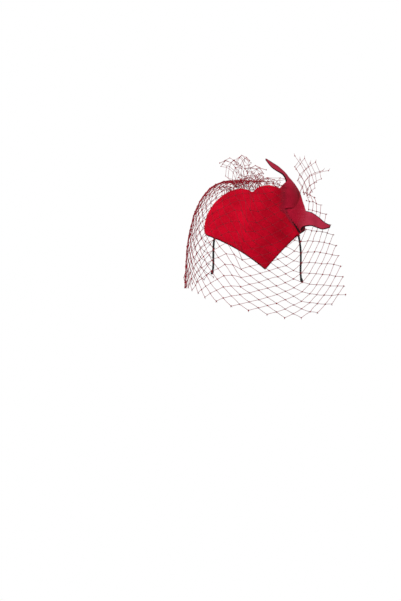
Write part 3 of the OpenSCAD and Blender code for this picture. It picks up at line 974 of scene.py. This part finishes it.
def loop_surface(foot, height, width, depth, lean, turn):
    """A loop of net: up from its foot, over and back down behind, spread sideways at the top."""
    foot, turn = np.asarray(foot, float), math.radians(turn)
    across = np.array([math.cos(turn), math.sin(turn), 0])
    back = np.array([-math.sin(turn), math.cos(turn), 0])

    def surface(a, b):
        rise = math.sin(math.pi * b)
        spread = (2 * a - 1) * width / 2 * (0.45 + 0.75 * rise)
        return (foot + across * (spread + lean * rise) + back * depth * (b - 0.5 + 0.25 * math.sin(5 * a))
                + np.array([0, 0, height * rise * (1 - 0.18 * (2 * a - 1) ** 2)]))

    return surface


def gather_at(q, drop=0.0):
    return bezier(GATHER, q) - np.array([0, 0, drop])


def gathers():
    """Small tight loops side by side along the gathering line, with a flat swirl at their right end."""
    parts = Parts()
    for k, q in enumerate(np.linspace(0.0, 0.62, 11)):
        foot = gather_at(q, 6) + np.array([0, rng.uniform(-3, 5), 0])
        height = rng.uniform(14, 22) * (0.8 if q > 0.45 else 1)
        surface = loop_surface(foot, height, rng.uniform(14, 20), rng.uniform(6, 11), rng.uniform(-4, 3),
                               rng.uniform(-35, 35))
        patch(parts, surface, 2, 5, 1.6)
    for k in range(2):
        foot = gather_at(0.0, 2) + np.array([-12 - 7 * k, 1, -3 - 2 * k])
        patch(parts, loop_surface(foot, 10, 24, 6, -6, -20), 4, 6, 0.9)
    return parts.build("net_gathers", NET_RED)


def left_tuft():
    """Tall loose loops behind the notch."""
    parts = Parts()
    for foot, height, width, depth, lean, turn in (
        ((-30, 0, 6), 45, 30, 12, -17, 4), ((-16, 1, 8), 47, 26, 11, -10, -8), ((2, 0, 8), 31, 26, 10, -4, 6),
    ):
        patch(parts, loop_surface(foot, height, width, depth, lean, turn), 4, 12, 1.1)
    return parts.build("left_tuft_net", NET_RED)


def right_tuft():
    """A fan of net that stands up from beside the upper tail, its threads cut at the top."""
    root, top = np.array([76, 7, -2.0]), np.array([82, 10, 48.0])
    across = unit([0.92, 0.2, -0.33])

    def surface(a, b):
        spread = (2 * a - 1) * (8 + 20 * b)
        bow = np.array([0, 3 * math.sin(4 * a + 2 * b), -5 * (2 * a - 1) ** 2 * b])
        return mix(root, top, b) + across * spread + bow

    parts = Parts()
    patch(parts, surface, 6, 6, 0.9, ("top",))
    patch(parts, lambda a, b: surface(a * 0.9 + 0.05, b * 0.93) + np.array([-3, 4, 0]), 5, 5, 1.0, ("top",))
    return parts.build("right_tuft_net", NET_RED)


def gathering_thread():
    """The running thread that draws the net together."""
    q = np.linspace(0.03, 0.58, 160)
    path = gather_at(q, 0) + np.array([0, 1, -7.6])
    path[:, 2] += 0.9 * np.sin(np.arange(160) * 0.8)
    path[:, 1] += 0.5 * np.cos(np.arange(160) * 0.8)
    points, faces = tube(path, 0.35, 6)
    return mesh_object("gathering_thread_seen", points, faces, THREAD_RED)


def tacks():
    """Three twisted thread bars from the band to the gathers."""
    parts = Parts()
    for x in (-20, 0, 20):
        band = 92 * (math.sqrt(1 - (x / 74) ** 2) - 1) + 1.9
        bunch = gather_at((x + 30) / 125, 8.4) + [0, 1.5, 0]
        ends = np.array([[x, -1, band + 0.6], [x, -4, band + 2], bunch])
        line = along_line(ends, 24)
        a = np.linspace(0, 2 * np.pi * 5, 25)
        for phase in (0, np.pi):
            path = line + 0.22 * np.stack([np.cos(a + phase), np.zeros(25), np.sin(a + phase)], -1)
            parts.add(*tube(path, 0.24, 6))
    return parts.build("veil_tacks_seen", THREAD_BLACK)


finished(gathers(), "headpiece", "net_red", "veil_gathers")
finished(left_tuft(), "headpiece", "net_red", "left_tuft")
finished(right_tuft(), "headpiece", "net_red", "right_tuft")
finished(gathering_thread(), "headpiece", "thread_red", "gathering_thread")
finished(tacks(), "headpiece", "thread_black", "veil_tacks")


# ---- the headband: its inner line from the crown (0) to a tip (1), as in the CAD ----
ARCH_SHARE = 0.7
BAND_HALF, BAND_RISE, BAND_DROP = 74, 92, 129
WRAP_W, BAND_T = 4.3, 1.9
ARM = [
    [BAND_HALF, -BAND_RISE], [BAND_HALF + 0.4, -BAND_RISE - 15], [BAND_HALF - 1.4, -BAND_RISE - 26],
    [BAND_HALF + 3, -BAND_DROP],
]


def band_line(s):
    s = np.asarray(s, float)
    a = np.radians(90 * (1 - np.minimum(s, ARCH_SHARE) / ARCH_SHARE))
    arch = np.stack([BAND_HALF * np.cos(a), BAND_RISE * np.sin(a) - BAND_RISE], -1)
    arm = bezier(ARM, np.clip((s - ARCH_SHARE) / (1 - ARCH_SHARE), 0, 1))
    return np.where((s <= ARCH_SHARE)[..., None], arch, arm)


def band_middle(s, side):
    """Points in the middle of the band's thickness; side is 1 for the wearer's left and -1 for the right."""
    d = band_line(np.minimum(s + 0.004, 1)) - band_line(np.maximum(s - 0.004, 0))
    out = unit(np.stack([-d[..., 1], d[..., 0]], -1))
    p = band_line(s) + out * BAND_T / 2
    return np.stack([side * p[..., 0], np.zeros_like(p[..., 0]), p[..., 1]], -1)


def wound(path, half_w, half_t, pitch=5.2, ridge=0.16, round_ends=False, sides=20):
    """A flat band wound with ribbon: each turn overlaps the last, so the surface steps along its length."""
    arc = np.concatenate([[0], np.cumsum(np.linalg.norm(np.diff(path, axis=0), axis=1))])
    tangent = unit(np.gradient(path, axis=0))
    across = unit(np.array([0, 1.0, 0]) - tangent * tangent[:, 1:2])
    out = np.cross(tangent, across)
    a = np.arange(sides) * 2 * np.pi / sides
    square = (np.abs(np.cos(a)) ** 4 + np.abs(np.sin(a)) ** 4) ** -0.25
    turn = arc[:, None] / pitch + a[None] / (2 * np.pi)
    share = turn - np.floor(turn)
    step = ridge * share * ease((1 - share) / 0.12)
    scale = np.ones(len(path))
    if round_ends:
        near = np.minimum(arc, arc[-1] - arc)
        scale = np.sqrt(np.clip(1 - (1 - np.minimum(near / half_t, 1)) ** 2, 0.02, 1))
    width = (half_w * scale)[:, None] * (np.cos(a) * square)[None]
    depth = (half_t * scale)[:, None] * (np.sin(a) * square)[None]
    grow = 1 + step / half_w, 1 + step / half_t
    rings = (path[:, None] + (width * grow[0])[..., None] * across[:, None]
             + (depth * grow[1])[..., None] * out[:, None])
    faces = grid_faces(len(path), sides, closed=True)
    faces += [tuple(range(sides - 1, -1, -1)), tuple(range((len(path) - 1) * sides, len(path) * sides))]
    return rings.reshape(-1, 3), faces


def band(side, name, *nodes):
    """Half of the wrapped band."""
    points, faces = wound(band_middle(np.linspace(0, 0.99, 460), side), WRAP_W / 2 - 0.1, BAND_T / 2 - 0.08)
    obj = mesh_object(name, points, faces, SATIN_BLACK)
    outward(obj)
    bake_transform(obj)
    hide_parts(*nodes)


def cap(side, name, body, node):
    """The smooth cap on a tip, its ends rounded."""
    points, faces = wound(band_middle(np.linspace(0.945, 1, 60), side), WRAP_W / 2 + 0.55, BAND_T / 2 + 0.55,
                          pitch=1.1, ridge=0.05, round_ends=True)
    obj = mesh_object(name, points, faces, SATIN_BLACK)
    outward(obj)
    finished(obj, body, "satin_black", node)


band(1, "left_band_ribbon", "band_wrap_crown", "band_wrap_left")
band(-1, "right_band_ribbon", "band_wrap_right")
cap(1, "left_tip", "left_arm", "left_tip_cap")
cap(-1, "right_tip", "right_arm", "right_tip_cap")


def keepers():
    """Ribbon-covered tabs from the base's underside to the band."""
    parts = Parts()
    for seat, s in (((62, 36), 0.33), ((71, 20), 0.42)):
        top = dome(np.array(seat) * 0.9, LINING_BOTTOM - GAP - 1)
        at = band_middle(np.array([s - 0.004, s, s + 0.004]), 1)
        d = at[2] - at[0]
        out = unit([-d[2], 0, d[0]])
        foot = at[1] + out * (BAND_T / 2 + GAP + 1)
        middle = (top + foot) / 2 + np.array([2, 3, 0])
        path = bezier((top, mix(top, middle, 0.6), mix(foot, middle, 0.6), foot), np.linspace(0, 1, 40))
        parts.add(*wound(path, 1.3, 0.85, pitch=2.6, ridge=0.1, round_ends=True, sides=16))
    obj = parts.build("keeper_ribbons", SATIN_BLACK)
    outward(obj)
    finished(obj, "headpiece", "satin_black", "band_keepers")


keepers()


# ---- world and light ----
def surroundings():
    world = bpy.data.worlds.new("studio")
    bpy.context.scene.world = world
    world.use_nodes = True
    nodes, links = world.node_tree.nodes, world.node_tree.links
    background = nodes["Background"]
    background.inputs["Color"].default_value = (1, 1, 1, 1)
    seen = nodes.new("ShaderNodeLightPath")
    level = nodes.new("ShaderNodeMapRange")
    level.inputs["To Min"].default_value = AMBIENT
    level.inputs["To Max"].default_value = 1.0
    links.new(seen.outputs["Is Camera Ray"], level.inputs["Value"])
    links.new(level.outputs["Result"], background.inputs["Strength"])
    for name, place, power, size in LIGHTS:
        light = bpy.data.lights.new(name, "AREA")
        light.energy, light.size = power, size
        point_at(new_object(name, light), place, (0.02, -0.02, -0.05))


AMBIENT = 0.30
LIGHTS = (
    ("key", (-0.45, -1.6, 1.45), 50, 0.9),
    ("fill", (1.2, -1.3, 0.3), 7, 1.2),
)
surroundings()
